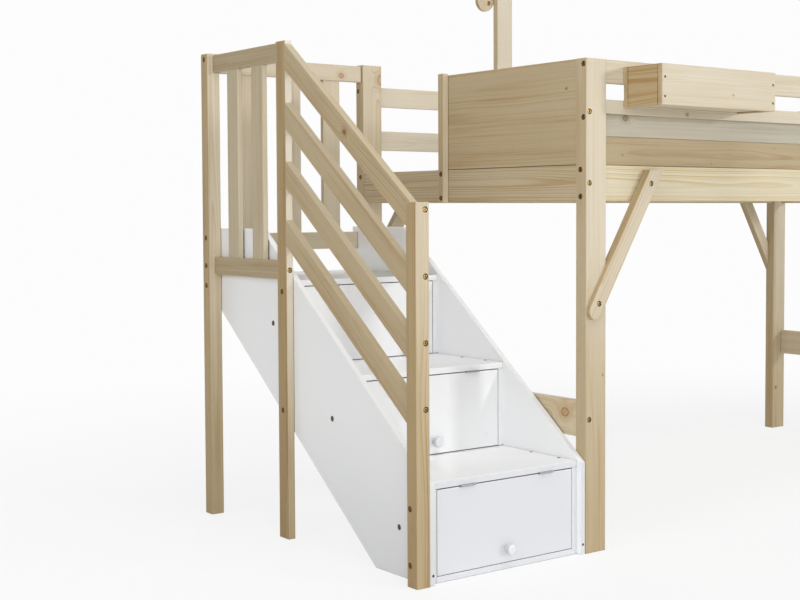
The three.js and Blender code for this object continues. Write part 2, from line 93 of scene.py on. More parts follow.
# Shader nodes
class Tree:
    """Adds nodes to one shader tree, linking their sockets as they are made."""

    def __init__(self, tree):
        self.tree = tree

    def add(self, kind, sockets=None, **settings):
        node = self.tree.nodes.new(kind)
        for name, value in settings.items():
            setattr(node, name, value)
        for name, value in (sockets or {}).items():
            self.put(node.inputs[name], value)
        return node

    def put(self, socket, value):
        if isinstance(value, bpy.types.NodeSocket):
            self.tree.links.new(value, socket)
        else:
            socket.default_value = value

    def math(self, operation, *values, clamp=False):
        node = self.add("ShaderNodeMath", operation=operation, use_clamp=clamp)
        for socket, value in zip(node.inputs, values):
            self.put(socket, value)
        return node.outputs[0]

    def vector(self, operation, *values):
        node = self.add("ShaderNodeVectorMath", operation=operation)
        for socket, value in zip(node.inputs, values):
            self.put(socket, value)
        return node.outputs["Value" if operation in {"DOT_PRODUCT", "LENGTH"} else "Vector"]

    def smooth(self, value, low, high, start=0.0, end=1.0):
        """A smooth step of value, from start at low to end at high."""
        sockets = {"Value": value, "From Min": low, "From Max": high, "To Min": start, "To Max": end}
        return self.add("ShaderNodeMapRange", sockets, interpolation_type="SMOOTHSTEP").outputs[0]

    def centred(self, share, size):
        """A share from nought to one as a length that lies as far below nought as above it."""
        return self.math("MULTIPLY", self.math("SUBTRACT", share, 0.5), size)

    def mix(self, factor, first, second):
        sockets = {"Factor": factor, "A": first, "B": second}
        return self.add("ShaderNodeMix", sockets, data_type="RGBA").outputs["Result"]

    def shaded(self, color, shade):
        """A colour made darker by a shade from nought to one."""
        sockets = {"Vector": color, "Scale": shade}
        return self.add("ShaderNodeVectorMath", sockets, operation="SCALE").outputs["Vector"]

    def noise(self, vector, scale, detail=2.0, roughness=0.5):
        sockets = {"Vector": vector, "Scale": scale, "Detail": detail, "Roughness": roughness}
        return self.add("ShaderNodeTexNoise", sockets).outputs["Fac"]

    def chance(self, value):
        """Three random shares and one more, the same wherever value is the same."""
        node = self.add("ShaderNodeTexWhiteNoise", {"W": value}, noise_dimensions="1D")
        return self.separate(node.outputs["Color"]), node.outputs["Value"]

    def combine(self, x, y, z):
        return self.add("ShaderNodeCombineXYZ", {"X": x, "Y": y, "Z": z}).outputs[0]

    def separate(self, vector):
        node = self.add("ShaderNodeSeparateXYZ", {"Vector": vector})
        return [node.outputs[axis] for axis in "XYZ"]

    def point(self):
        return self.add("ShaderNodeTexCoord").outputs["Object"]

    def normal(self):
        return self.add("ShaderNodeNewGeometry").outputs["Normal"]

    def bump(self, height, strength, relief):
        sockets = {"Height": height, "Strength": strength, "Distance": relief * MM}
        return self.add("ShaderNodeBump", sockets).outputs[0]

    def mix_shaders(self, factor, first, second):
        node = self.add("ShaderNodeMixShader", {"Fac": factor})
        self.put(node.inputs[1], first.outputs[0])
        self.put(node.inputs[2], second.outputs[0])
        return node.outputs[0]


def empty_material(name):
    material = bpy.data.materials.new(name)
    material.use_nodes = True
    material.node_tree.nodes.clear()
    return material, Tree(material.node_tree)


def finish_material(tree, sockets):
    shader = tree.add("ShaderNodeBsdfPrincipled", sockets)
    tree.add("ShaderNodeOutputMaterial", {"Surface": shader.outputs[0]})


# Painted shade in creases: how wide a gap gets it, in millimetres, and smooth steps from how open a point is
# to its shade
CREASE_SHADE_REACH = 6
CREASE_SAMPLES = 8
PINE_CREASE_SHADE = (0.2, 0.5, 0.3, 1.0)
LACQUER_CREASE_SHADE = (0.18, 0.52, 0.03, 1.0)


def crease_shaded(tree, color, crease):
    """A colour with painted shade inside narrow gaps, where two pieces nearly meet."""
    sockets = {"Distance": CREASE_SHADE_REACH * MM}
    node = tree.add("ShaderNodeAmbientOcclusion", sockets, samples=CREASE_SAMPLES)
    return tree.shaded(color, tree.smooth(node.outputs["AO"], *crease))


# Pine, worked out in each board's own directions: along its grain, across it and through it
EARLY_WOOD = linear(220, 209, 187)
LATE_WOOD = linear(196, 170, 126)
KNOT_CORE = linear(184, 140, 92)
KNOT_RIM = linear(136, 96, 58)
RESIN = linear(176, 136, 92)

# Textures: waves in a metre along the grain and across it, how far a board's seed moves them,
# and how fine and how rough the noise is
WANDER = (1.3, 5.0, 3.1, 1.5, 0.5)
CALM = (0.9, 14.0, 4.3, 1.0, 0.5)
FIBRE = (9.0, 900.0, 1.7, 3.0, 0.6)
STREAK = (2.2, 60.0, 5.3, 2.0, 0.5)
RESIN_LINE = (16.0, 420.0, 9.1, 1.0, 0.5)
CLOUD = (3.0, 12.0, 2.9, 2.0, 0.5)

# Smooth steps: where each one begins and ends, and the values that it goes between
CALM_STEP = (0.35, 0.68, 0.35, 1.25)
FIBRE_STEP = (0.5, 0.9, 0.0, 0.3)
STREAK_STEP = (0.45, 0.8, 0.0, 0.3)
RESIN_STEP = (0.74, 0.8, 0.0, 1.0)
LATE_RISE = (0.25, 0.9, 0.0, 1.0)
LATE_FALL = (0.9, 1.0, 1.0, 0.0)
EDGE_STEP = (0.4, 0.8, 1.0, 0.0)
SIDE_STEP = (0.4, 0.9)

# Smooth steps of the distance from a knot, in the knot's radii
HALO_STEP = (0.9, 3.2, 0.45, 0.0)
KNOT_RIM_STEP = (0.75, 0.98, 0.0, 0.75)
IN_KNOT_STEP = (0.95, 1.12, 1.0, 0.0)

# The trunk, in millimetres: its rings, how its middle wanders, and where the middle lies from a board
RING_WIDTH = 3.4
WANDER_SIZE = 26
PITH_SPREAD = 70
PITH_DEPTH = 24
PITH_DEPTH_SPREAD = 60

# How uneven rings are, in rings, how dark each year is, and shares of resin and of wander in depth
RING_UNEVEN = 1.6
RING_UNEVEN_WAVES = 0.6
YEAR_LEAST = 0.12
YEAR_SPREAD = 0.4
RESIN_SHARE = 0.3
WANDER_DEPTH_SHARE = 0.7

# Knots, in millimetres
KNOT_SPACING = 460
KNOT_LARGEST = 7
KNOT_LEFT_OUT = 1.5
NO_KNOT_RADIUS = 0.01
RAGGED_SIZE = 2.4
SMALL_KNOT = 5
LARGE_KNOT = 11

# Knots' rough edges, in waves in a metre, their rings, places and shape, and how grain bends round them
RAGGED_WAVES = 90.0
SMALL_KNOT_RINGS = 0.5
LARGE_KNOT_RINGS = 1.7
KNOT_SHIFT = 7.3
KNOT_SPREAD = 0.8
KNOT_OVAL = 0.8
KNOT_RINGS = 3.4
BULGE_REACH = 2.6
BULGE_STRENGTH = 1.5

# How much deeper the colour is in clouds and by chance, as painted shade on edges, on sides and near the
# floor, and on end grain
CLOUD_DEPTH = -0.36
CHANCE_DEPTH = 0.1
EDGE_SHADE_DEPTH = 0.15
SIDE_SHADE_DEPTH = 0.75
FLOOR_SHADE_DEPTH = 0.65
FLOOR_SHADE_SHARE = 0.35
END_GRAIN_DEPTH = 1.5

# How far up the painted shade near the floor reaches, and how wide the edge of end grain is, in millimetres
FLOOR_SHADE_REACH = 850
END_GRAIN_FADE = 1

# What greyness and yellowness do to hue and saturation, and what fibres and knots do to the surface
PLAIN_HUE = 0.5
HUE_TURN = 0.01
GREY_FADE = -0.28
YELLOW_GAIN = 0.3
FIBRE_HEIGHT = 0.5
LATE_HEIGHT = 0.5
KNOT_HEIGHT = -0.6
PLAIN_ROUGHNESS = 0.44
FIBRE_ROUGHNESS = 0.16
KNOT_ROUGHNESS = -0.12

# The painted shadow line in the joint between a panel and its rail, in millimetres, and its shade
SEAM_CORE = 0.5
SEAM_EDGE = 1.4
SEAM_SHADE = 0.25

# What a board gives the pine group, and what it gets back
VECTORS = ("Point", "Knot")
# Edge, Side and Foot carry painted shade: on narrow edges, on faces that look along the bed, and near the
# floor
NUMBERS = ("Seed", "Width", "Knots", "Grain", "Edge", "Side", "Foot", "Depth", "Grey", "Yellow", "Knot Size")
RESULTS = {"Color": "NodeSocketColor", "Height": "NodeSocketFloat", "Roughness": "NodeSocketFloat"}


class PineTree(Tree):
    """The tree of the group that every board uses, with what the board gives it."""

    def __init__(self, tree):
        super().__init__(tree)
        self.given = self.add("NodeGroupInput").outputs
        self.along, self.across, self.through = self.separate(self.given["Point"])
        (self.chance_a, self.chance_b, self.chance_c), _ = self.chance(self.given["Seed"])

    def texture(self, along_scale, across_scale, shift, detail, roughness):
        """Noise that is drawn out along the grain and moved by the board's seed."""
        seed = self.given["Seed"]
        along = self.math("MULTIPLY_ADD", seed, shift, self.math("MULTIPLY", self.along, along_scale))
        across = self.math("MULTIPLY_ADD", seed, shift, self.math("MULTIPLY", self.across, across_scale))
        through = self.math("MULTIPLY", self.through, across_scale)
        return self.noise(self.combine(along, across, through), 1.0, detail, roughness)

    def nearest_knot(self):
        """How far the nearest knot is, in its radii, and its radius.

        Knots lie at uneven steps along the board, and one more may lie where the photo shows it.
        """
        given = self.given
        step = KNOT_SPACING * MM
        place = self.math("MULTIPLY_ADD", given["Seed"], KNOT_SHIFT, self.math("DIVIDE", self.along, step))
        cells = self.add("ShaderNodeTexVoronoi", {"W": place, "Scale": 1.0}, voronoi_dimensions="1D")
        chance_place, chance_size, _ = self.separate(cells.outputs["Color"])
        to_knot = self.math("MULTIPLY", self.math("SUBTRACT", place, cells.outputs["W"]), step)
        spread = self.math("MULTIPLY", self.centred(chance_place, given["Width"]), KNOT_SPREAD)
        size = self.math("MULTIPLY", self.math("MULTIPLY", chance_size, given["Knots"]), KNOT_LARGEST * MM)
        size = self.math("SUBTRACT", size, KNOT_LEFT_OUT * MM)
        size = self.math("MAXIMUM", size, NO_KNOT_RADIUS * MM)
        ragged = self.centred(self.noise(given["Point"], RAGGED_WAVES), RAGGED_SIZE * MM)

        def reach_of(to_knot, beside, size):
            flat = self.combine(self.math("MULTIPLY", to_knot, KNOT_OVAL), beside, 0.0)
            return self.math("DIVIDE", self.math("ADD", self.vector("LENGTH", flat), ragged), size)

        reach = reach_of(to_knot, self.math("SUBTRACT", self.across, spread), size)
        own_along, own_across, _ = self.separate(given["Knot"])
        own_size = given["Knot Size"]
        to_own = self.math("SUBTRACT", self.along, own_along)
        own_reach = reach_of(to_own, self.math("SUBTRACT", self.across, own_across), own_size)
        is_own = self.math("LESS_THAN", own_reach, reach)
        size_if_own = self.math("MULTIPLY", is_own, own_size)
        size_if_not = self.math("MULTIPLY", self.math("SUBTRACT", 1.0, is_own), size)
        return self.math("MINIMUM", own_reach, reach), self.math("ADD", size_if_own, size_if_not)

    def late_wood(self, reach, knot_size):
        """How strong a ring's dark part is; rings go round the trunk's middle and bend by knots."""
        wander = self.centred(self.texture(*WANDER), WANDER_SIZE * MM)
        pith_across = self.centred(self.chance_a, PITH_SPREAD * MM)
        pith_depth = self.math("MULTIPLY_ADD", self.chance_b, PITH_DEPTH_SPREAD * MM, PITH_DEPTH * MM)
        across = self.math("ADD", self.math("SUBTRACT", self.across, pith_across), wander)
        depth = self.math("ADD", self.through, pith_depth)
        depth = self.math("ADD", depth, self.math("MULTIPLY", wander, WANDER_DEPTH_SHARE))
        radius = self.vector("LENGTH", self.combine(across, depth, 0.0))
        bulge = self.math("POWER", self.math("DIVIDE", reach, BULGE_REACH), 2.0)
        bulge = self.math("MULTIPLY", self.math("EXPONENT", self.math("MULTIPLY", bulge, -1.0)), knot_size)
        radius = self.math("MULTIPLY_ADD", bulge, BULGE_STRENGTH, radius)
        ring = self.math("DIVIDE", radius, RING_WIDTH * MM)
        sockets = {"W": ring, "Scale": RING_UNEVEN_WAVES}
        uneven = self.add("ShaderNodeTexNoise", sockets, noise_dimensions="1D").outputs["Fac"]
        ring = self.math("MULTIPLY_ADD", uneven, RING_UNEVEN, ring)
        share = self.math("FRACT", ring)
        late = self.math("MULTIPLY", self.smooth(share, *LATE_RISE), self.smooth(share, *LATE_FALL))
        _, year = self.chance(self.math("FLOOR", ring))
        strength = self.math("MULTIPLY_ADD", year, YEAR_SPREAD, YEAR_LEAST)
        strength = self.math("MULTIPLY", strength, self.given["Grain"])
        calm = self.smooth(self.texture(*CALM), *CALM_STEP)
        return self.math("MULTIPLY", self.math("MULTIPLY", late, strength), calm, clamp=True)

    def grain_color(self, late, fibre):
        """Rings, fibres, broad streaks and short resin lines, drawn out along the grain."""
        streak = self.smooth(self.texture(*STREAK), *STREAK_STEP)
        resin = self.smooth(self.texture(*RESIN_LINE), *RESIN_STEP)
        color = self.mix(late, EARLY_WOOD, LATE_WOOD)
        color = self.mix(streak, color, LATE_WOOD)
        color = self.mix(self.smooth(fibre, *FIBRE_STEP), color, LATE_WOOD)
        return self.mix(self.math("MULTIPLY", resin, RESIN_SHARE), color, RESIN)

    def knot_color(self, reach, knot_size):
        """A knot's rings and dark rim; rings show most in the large ones."""
        ring = self.math("PINGPONG", self.math("MULTIPLY", reach, KNOT_RINGS), 0.5)
        strength = self.smooth(
            knot_size, SMALL_KNOT * MM, LARGE_KNOT * MM, SMALL_KNOT_RINGS, LARGE_KNOT_RINGS
        )
        core = self.mix(self.math("MULTIPLY", ring, strength), KNOT_CORE, EARLY_WOOD)
        return self.mix(self.smooth(reach, *KNOT_RIM_STEP), core, KNOT_RIM)

    def toned(self, color):
        """The colour made deeper, greyer or yellower, as the board and the place on it ask; it is deeper on
        edges, on sides and near the floor as painted shade.
        """
        given = self.given
        cloud = self.centred(self.texture(*CLOUD), CLOUD_DEPTH)
        # Painted shade on edges, sides and near the floor deepens the colour here
        depth = self.math("MULTIPLY_ADD", given["Edge"], EDGE_SHADE_DEPTH, given["Depth"])
        depth = self.math("MULTIPLY_ADD", given["Side"], SIDE_SHADE_DEPTH, depth)
        depth = self.math("MULTIPLY_ADD", given["Foot"], FLOOR_SHADE_DEPTH, depth)
        depth = self.math("ADD", depth, cloud)
        depth = self.math("ADD", depth, self.centred(self.chance_c, CHANCE_DEPTH))
        color = self.add("ShaderNodeGamma", {"Color": color, "Gamma": depth}).outputs[0]
        greyed = self.math("MULTIPLY_ADD", given["Grey"], GREY_FADE, 1.0)
        turned = self.math("ADD", given["Grey"], given["Yellow"])
        sockets = {
            "Hue": self.math("MULTIPLY_ADD", turned, HUE_TURN, PLAIN_HUE),
            "Saturation": self.math("MULTIPLY_ADD", given["Yellow"], YELLOW_GAIN, greyed),
            "Color": color,
        }
        return self.add("ShaderNodeHueSaturation", sockets).outputs[0]


def pine_group():
    """The colour, relief and roughness of pine at a point of a board."""
    group = bpy.data.node_groups.new("pine_wood", "ShaderNodeTree")
    for name in VECTORS:
        group.interface.new_socket(name, in_out="INPUT", socket_type="NodeSocketVector")
    for name in NUMBERS:
        group.interface.new_socket(name, in_out="INPUT", socket_type="NodeSocketFloat")
    for name, kind in RESULTS.items():
        group.interface.new_socket(name, in_out="OUTPUT", socket_type=kind)
    tree = PineTree(group)
    reach, knot_size = tree.nearest_knot()
    late = tree.late_wood(reach, knot_size)
    fibre = tree.texture(*FIBRE)
    in_knot = tree.smooth(reach, *IN_KNOT_STEP)
    color = tree.mix(tree.smooth(reach, *HALO_STEP), tree.grain_color(late, fibre), LATE_WOOD)
    color = tree.mix(in_knot, color, tree.knot_color(reach, knot_size))
    height = tree.math("MULTIPLY_ADD", fibre, FIBRE_HEIGHT, tree.math("MULTIPLY", late, LATE_HEIGHT))
    rough = tree.math("MULTIPLY_ADD", fibre, FIBRE_ROUGHNESS, PLAIN_ROUGHNESS)
    results = {
        "Color": tree.toned(color),
        "Height": tree.math("MULTIPLY_ADD", in_knot, KNOT_HEIGHT, height),
        "Roughness": tree.math("MULTIPLY_ADD", in_knot, KNOT_ROUGHNESS, rough),
    }
    tree.add("NodeGroupOutput", results)
    return group


PINE = pine_group()

# Knots that the photo shows: place on the board's face and radius, in millimetres
OWN_KNOTS = {
    "handrail_1": ((17, 316, 1055), 5.5),
    "bed_post_back_left": ((589, 990, 1262), 11),
    "cross_rail_left": ((527, 80, 350), 11),
    "end_panel_left": ((527, 76, 1170), 2.2),
    "guard_front_upper_board": ((680, 20, 1098), 7),
    "guard_front_middle_rail": ((890, 2, 1115), 4),
    "landing_back_railing_1": ((452, 998, 1269), 7),
}

# How each board differs from a plain one: its knots, its strength of grain, its depth of colour, partly its
# own tone and partly painted shade, also the painted shade of side faces and foot, its greyness and
# yellowness, and the height of a painted shadow seam
PLAIN_LOOK = {"knots": 0.5, "depth": 1.0, "grain": 1.0, "side": 1.0, "foot": 1.0, "grey": 0.0, "yellow": 0.0}
END_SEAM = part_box("end_panel_left")[0].z
BOARDS = {
    "bed_post_front_left": {"knots": 0.9, "depth": 1.08, "grain": 0.8, "side": 0.65, "foot": 1.3},
    "bed_post_back_left": {"depth": 1.15},
    "bed_post_front_right": {"knots": 0.9, "depth": 1.05},
    "bed_post_back_right": {"knots": 0.8, "depth": 1.1},
    "side_rail_front": {"knots": 0.3, "depth": 0.9, "grain": 2.8, "yellow": 0.8},
    "side_rail_back": {"knots": 0.9, "depth": 1.1, "grain": 1.6},
    "end_rail_left": {"depth": 0.9, "grain": 2.4, "grey": 0.1, "seam": END_SEAM},
    "end_rail_right": {"knots": 0.8, "depth": 1.1, "grain": 1.8},
    "cross_rail_left": {"depth": 0.42, "grain": 3.4, "grey": -0.4},
    "cross_rail_right": {"knots": 1.0, "depth": 0.5},
    "guard_front_top_rail": {"grain": 1.4},
    "guard_front_middle_rail": {"grain": 0.9},
    # The guard's upper and lower boards are deeper partly as painted shade under the middle rail and the
    # tray
    "guard_front_upper_board": {"knots": 0.8, "depth": 1.75, "grain": 0.5, "grey": 1.6},
    "guard_front_lower_board": {"depth": 2.15, "grain": 0.5, "grey": 0.2},
    "guard_back_upper_slat": {"knots": 0.4, "depth": 0.9, "grain": 0.8},
    "guard_back_lower_slat": {"knots": 0.4, "depth": 0.85},
    "end_panel_left": {"depth": 1.18, "grain": 0.9, "grey": 0.05, "seam": END_SEAM},
    "end_panel_right": {"knots": 1.0, "depth": 1.1, "grain": 1.3},
    "entry_post": {"knots": 0.2},
    "tall_post": {"knots": 0.2, "depth": 0.9},
    "tray_floor": {},
    "stair_post_front": {"knots": 0.3, "depth": 1.26, "grain": 1.3, "side": 1.3, "foot": 1.35, "grey": -0.1},
    "stair_post_middle": {"depth": 0.45, "side": 3.0, "foot": 1.7},
    "stair_post_back": {"depth": 1.15, "side": 1.4, "foot": 1.6, "grey": 0.1},
}
# These looks' depth is also partly the boards' own tone and partly painted shade
HANDRAIL_LOOK = {"knots": 0.3, "depth": 1.5, "grain": 0.8, "grey": 0.2}
BRACE_LOOK = {"knots": 0.3, "depth": 1.2}
BASE_LOOK = {"knots": 0.8}
TRAY_FRONT_LOOK = {"depth": 1.05, "grain": 1.1}
TRAY_END_LOOK = {"depth": 1.3, "grain": 1.5, "grey": -0.3}
SIDE_RAIL_LOOK = {"depth": 1.85, "grey": 0.6}
SIDE_SLAT_LOOK = {"depth": 1.3, "grain": 0.8, "grey": 0.65}
BACK_RAILING_LOOK = {"depth": 1.1}

# Each board's seed picks its own grain; the boards above have seeds from 1 on
HANDRAIL_SEEDS = {"handrail_1": 41, "handrail_2": 42, "handrail_3": 43, "handrail_4": 44}
BRACE_SEEDS = {"front_left": 58, "front_right": 52, "back_left": 57, "back_right": 51}
ARM_SEED = 60
RAILING_SEED = 90
BASE_SEED = 80
TRAY_SEED = 94

# Boards that slope: the handrails' rise over their run, in millimetres, and the braces' lean
HANDRAIL_RISE = 416
HANDRAIL_RUN = 558
BRACE_LEAN = math.radians(58.7)
SLOPED_WIDTH_SHARE = 1 / 6

# Sizes in millimetres that tell the boards of one node apart
RAILING_BOARD = 50
RAILING_MARGIN = 5
LEDGER_WIDTH = 22
LEDGER_HEIGHT = 30
SLAT_WIDTH = 70
TRAY_WALL = 16
TRAY_HEIGHT = 100
TOLERANCE = 1

# The surface: how strong its relief is, its height in millimetres, and its gloss
PINE_BUMP = (0.5, 0.12)
PINE_SPECULAR = 0.35


def own_knot(name):
    """Place and radius of the knot that the photo shows on a board, or of one too small to see."""
    if name not in OWN_KNOTS:
        return Vector((0, 0, 0)), NO_KNOT_RADIUS * MM
    place, radius = OWN_KNOTS[name]
    return at(*place), radius * MM


def board_depth(tree, behind, look):
    """A board's depth of colour, deeper where its ends show at the front and back."""
    if "end_grain" not in look:
        return look["depth"]
    low, high = look["end_grain"]
    front_end = tree.smooth(behind, low, low + END_GRAIN_FADE * MM, 1.0, 0.0)
    back_end = tree.smooth(behind, high - END_GRAIN_FADE * MM, high, 0.0, 1.0)
    return tree.math("MULTIPLY_ADD", tree.math("ADD", front_end, back_end), END_GRAIN_DEPTH, look["depth"])


def shadow_seamed(tree, color, height, look):
    """The colour, with a painted shadow line where a panel stands on its rail."""
    if "seam" not in look:
        return color
    from_seam = tree.math("ABSOLUTE", tree.math("SUBTRACT", height, look["seam"]))
    return tree.shaded(color, tree.smooth(from_seam, SEAM_CORE * MM, SEAM_EDGE * MM, SEAM_SHADE, 1.0))


def pine(name, axes, centre, width, seed, look):
    """Pine for one board, with its grain along the first of its axes."""
    material, tree = empty_material(f"pine_{name}")
    look = PLAIN_LOOK | look
    knot_place, knot_radius = own_knot(name)
    place = tree.point()
    _, behind, height = tree.separate(place)
    point = tree.vector("SUBTRACT", place, centre)
    normal = tree.normal()
    # Painted shade: a deeper colour on a board's narrow edges, on faces that look along the bed, and near
    # the floor
    facing = tree.math("ABSOLUTE", tree.vector("DOT_PRODUCT", normal, axes[2]))
    sideways = tree.math("ABSOLUTE", tree.separate(normal)[0])
    floor_shade = tree.smooth(height, 0.0, FLOOR_SHADE_REACH * MM, look["foot"], 0.0)
    floor_shade_share = tree.smooth(sideways, *SIDE_STEP, 1.0, FLOOR_SHADE_SHARE)
    wood = tree.add("ShaderNodeGroup", node_tree=PINE)
    values = {
        "Point": tree.combine(*(tree.vector("DOT_PRODUCT", point, axis) for axis in axes)),
        "Seed": float(seed),
        "Width": width,
        "Knots": look["knots"],
        "Grain": look["grain"],
        "Edge": tree.smooth(facing, *EDGE_STEP),
        "Side": tree.smooth(sideways, *SIDE_STEP, 0.0, look["side"]),
        "Foot": tree.math("MULTIPLY", floor_shade, floor_shade_share),
        "Depth": board_depth(tree, behind, look),
        "Grey": look["grey"],
        "Yellow": look["yellow"],
        "Knot": [(knot_place - centre).dot(axis) for axis in axes],
        "Knot Size": knot_radius,
    }
    for socket, value in values.items():
        tree.put(wood.inputs[socket], value)
    color = shadow_seamed(tree, wood.outputs["Color"], height, look)
    sockets = {
        "Base Color": crease_shaded(tree, color, PINE_CREASE_SHADE),
        "Roughness": wood.outputs["Roughness"],
        "Normal": tree.bump(wood.outputs["Height"], *PINE_BUMP),
        "Specular IOR Level": PINE_SPECULAR,
    }
    finish_material(tree, sockets)
    return material


def board_axes(size):
    """A board's directions along, across and through it, from its size along X, Y and Z."""
    order = sorted(range(len(size)), key=lambda i: (-round(size[i] / MM), i))
    return [AXES[i] for i in order]


def sloping_axes(level, angle, through):
    """The directions of a board that rises from level at an angle."""
    rising = level * math.cos(angle) + UP * math.sin(angle)
    return rising, rising.cross(through), through


def paint(node, *materials):
    """Gives a CAD node its materials."""
    slots = frame["nodes"][node].data.materials
    slots.clear()
    for material in materials:
        slots.append(material)


def paint_board(node, seed, look, sloping=None):
    """Pine on a node that is one board; sloping gives the directions of a sloping one."""
    low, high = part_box(node)
    size = high - low
    axes = sloping or board_axes(size)
    width = max(size) * SLOPED_WIDTH_SHARE if sloping else abs(size.dot(axes[1]))
    paint(node, pine(node, axes, (low + high) / 2, width, seed, look))


def paint_parts(node, parts, is_second, seed):
    """Pine on a node of boards of two kinds, each given as its axes, width and look."""
    low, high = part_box(node)
    middle = (low + high) / 2
    materials = [
        pine(f"{node}_{number + 1}", axes, middle, width * MM, seed + number, look)
        for number, (axes, width, look) in enumerate(parts)
    ]
    paint(node, *materials)
    for polygon in frame["nodes"][node].data.polygons:
        polygon.material_index = int(is_second(polygon.center))


def paint_railing(node, along, through, rail_look, slat_look):
    """Rails lie level at the top and foot of a railing, and its slats stand between them."""
    low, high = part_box(node)
    rail = (RAILING_BOARD + RAILING_MARGIN) * MM
    parts = (
        ((along, UP, through), RAILING_BOARD, rail_look),
        ((UP, along, through), RAILING_BOARD, slat_look),
    )
    paint_parts(node, parts, lambda place: low.z + rail <= place.z <= high.z - rail, RAILING_SEED)


def paint_mattress_base():
    """Slats lie across the bed on two ledgers along its sides."""
    low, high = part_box("mattress_base")

    def is_slat(place):
        from_side = min(place.y - low.y, high.y - place.y)
        return from_side >= (LEDGER_WIDTH + TOLERANCE) * MM or place.z >= low.z + LEDGER_HEIGHT * MM

    parts = (
        ((RIGHT, UP, BACK), LEDGER_WIDTH, BASE_LOOK),
        ((BACK, RIGHT, UP), SLAT_WIDTH, BASE_LOOK),
    )
    paint_parts("mattress_base", parts, is_slat, BASE_SEED)


def paint_tray():
    """The tray's front and back run along the bed, and its ends stand between them."""
    low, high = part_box("tray_walls")
    front = low.y + TRAY_WALL * MM
    back = high.y - TRAY_WALL * MM

    def is_end(place):
        between = front - TOLERANCE * MM < place.y < back + TOLERANCE * MM
        return between and min(place.x - low.x, high.x - place.x) < (TRAY_WALL + TOLERANCE) * MM

    parts = (
        ((RIGHT, UP, BACK), TRAY_HEIGHT, TRAY_FRONT_LOOK),
        ((BACK, UP, RIGHT), TRAY_HEIGHT, TRAY_END_LOOK | {"end_grain": (front, back)}),
    )
    paint_parts("tray_walls", parts, is_end, TRAY_SEED)


def paint_pine():
    for seed, (node, look) in enumerate(BOARDS.items(), start=1):
        paint_board(node, seed, look)
    climb = sloping_axes(BACK, math.atan2(HANDRAIL_RISE, HANDRAIL_RUN), RIGHT)
    for node, seed in HANDRAIL_SEEDS.items():
        paint_board(node, seed, HANDRAIL_LOOK, climb)
    for place, seed in BRACE_SEEDS.items():
        level = RIGHT if place.endswith("left") else LEFT
        paint_board(f"knee_brace_{place}", seed, BRACE_LOOK, sloping_axes(level, BRACE_LEAN, BACK))
    paint_board("tall_post_arm", ARM_SEED, BRACE_LOOK, sloping_axes(RIGHT, BRACE_LEAN, BACK))
    paint_railing("landing_side_railing", BACK, RIGHT, SIDE_RAIL_LOOK, SIDE_SLAT_LOOK)
    paint_railing("landing_back_railing", RIGHT, BACK, BACK_RAILING_LOOK, BACK_RAILING_LOOK)
    paint_mattress_base()
    paint_tray()


# White lacquer on board, with a faint orange peel and a little unevenness
WHITE = linear(249, 250, 251)
WHITE_CLOUD = linear(246, 247, 249)
WHITE_SPECK = linear(214, 215, 218)
# Painted shade: greyer whites on forward faces near the front, on the left panel's outer face, on the
# landing's top and on the knobs
FRONT_SHADE_GREY = linear(227, 228, 231)
OUTSIDE_SHADE_LOW = linear(220, 220, 221)
OUTSIDE_SHADE_HIGH = linear(236, 236, 235)
LANDING_SHADE_GREY = linear(184, 182, 178)
KNOB_FRONT_SHADE = linear(232, 233, 236)
KNOB_RIM_SHADE = linear(198, 199, 202)
CLOUD_NOISE = (5.0, 3.0)
CLOUD_STEP = (0.35, 0.65)
SPECK_NOISE = (900.0, 2.0)
SPECK_STEP = (0.62, 0.8, 0.0, 0.12)
PEEL_NOISE = (260.0, 2.0)
FACING_STEP = (0.5, 0.9)
KNOB_STEP = (0.5, 0.95)

# How far the painted shade on fronts goes behind the front post's face, and the painted shade on the outer
# panel goes up, in millimetres
FRONT_SHADE_FROM = 30
FRONT_SHADE_TO = 120
OUTSIDE_SHADE_TO = 400

# The lacquer's relief, roughness and gloss
LACQUER_BUMP = (0.35, 0.05)
LACQUER_ROUGHNESS = (0.12, 0.24)
LACQUER_SPECULAR = 0.5
LACQUER_COAT = 0.15
COAT_ROUGHNESS = 0.15
DULL = 0.1


def lacquer(name, greyed, gloss=1.0):
    """White lacquer with painted shade: its faces look greyer where greyed, a function of place and normal,
    tells.
    """
    material, tree = empty_material(name)
    point = tree.point()
    cloud = tree.noise(point, *CLOUD_NOISE)
    place = tree.separate(tree.vector("SUBTRACT", point, CORNER))
    share, grey = greyed(tree, place, tree.separate(tree.normal()))
    color = tree.mix(tree.smooth(cloud, *CLOUD_STEP), WHITE, WHITE_CLOUD)
    color = tree.mix(tree.smooth(tree.noise(point, *SPECK_NOISE), *SPECK_STEP), color, WHITE_SPECK)
    color = tree.mix(share, color, grey)
    sockets = {
        "Base Color": crease_shaded(tree, color, LACQUER_CREASE_SHADE),
        "Roughness": tree.math("MULTIPLY_ADD", cloud, *LACQUER_ROUGHNESS),
        "Normal": tree.bump(tree.noise(point, *PEEL_NOISE), *LACQUER_BUMP),
        "Specular IOR Level": LACQUER_SPECULAR * gloss,
        "Coat Weight": LACQUER_COAT * gloss,
        "Coat Roughness": COAT_ROUGHNESS,
    }
    finish_material(tree, sockets)
    return material


def front_painted_shade(tree, place, normal):
    """Painted shade on faces that look forward, near the staircase's front."""
    near = tree.smooth(place[1], FRONT_SHADE_FROM * MM, FRONT_SHADE_TO * MM, 1.0, 0.0)
    facing = tree.smooth(tree.math("MULTIPLY", normal[1], -1.0), *FACING_STEP)
    return tree.math("MULTIPLY", near, facing), FRONT_SHADE_GREY


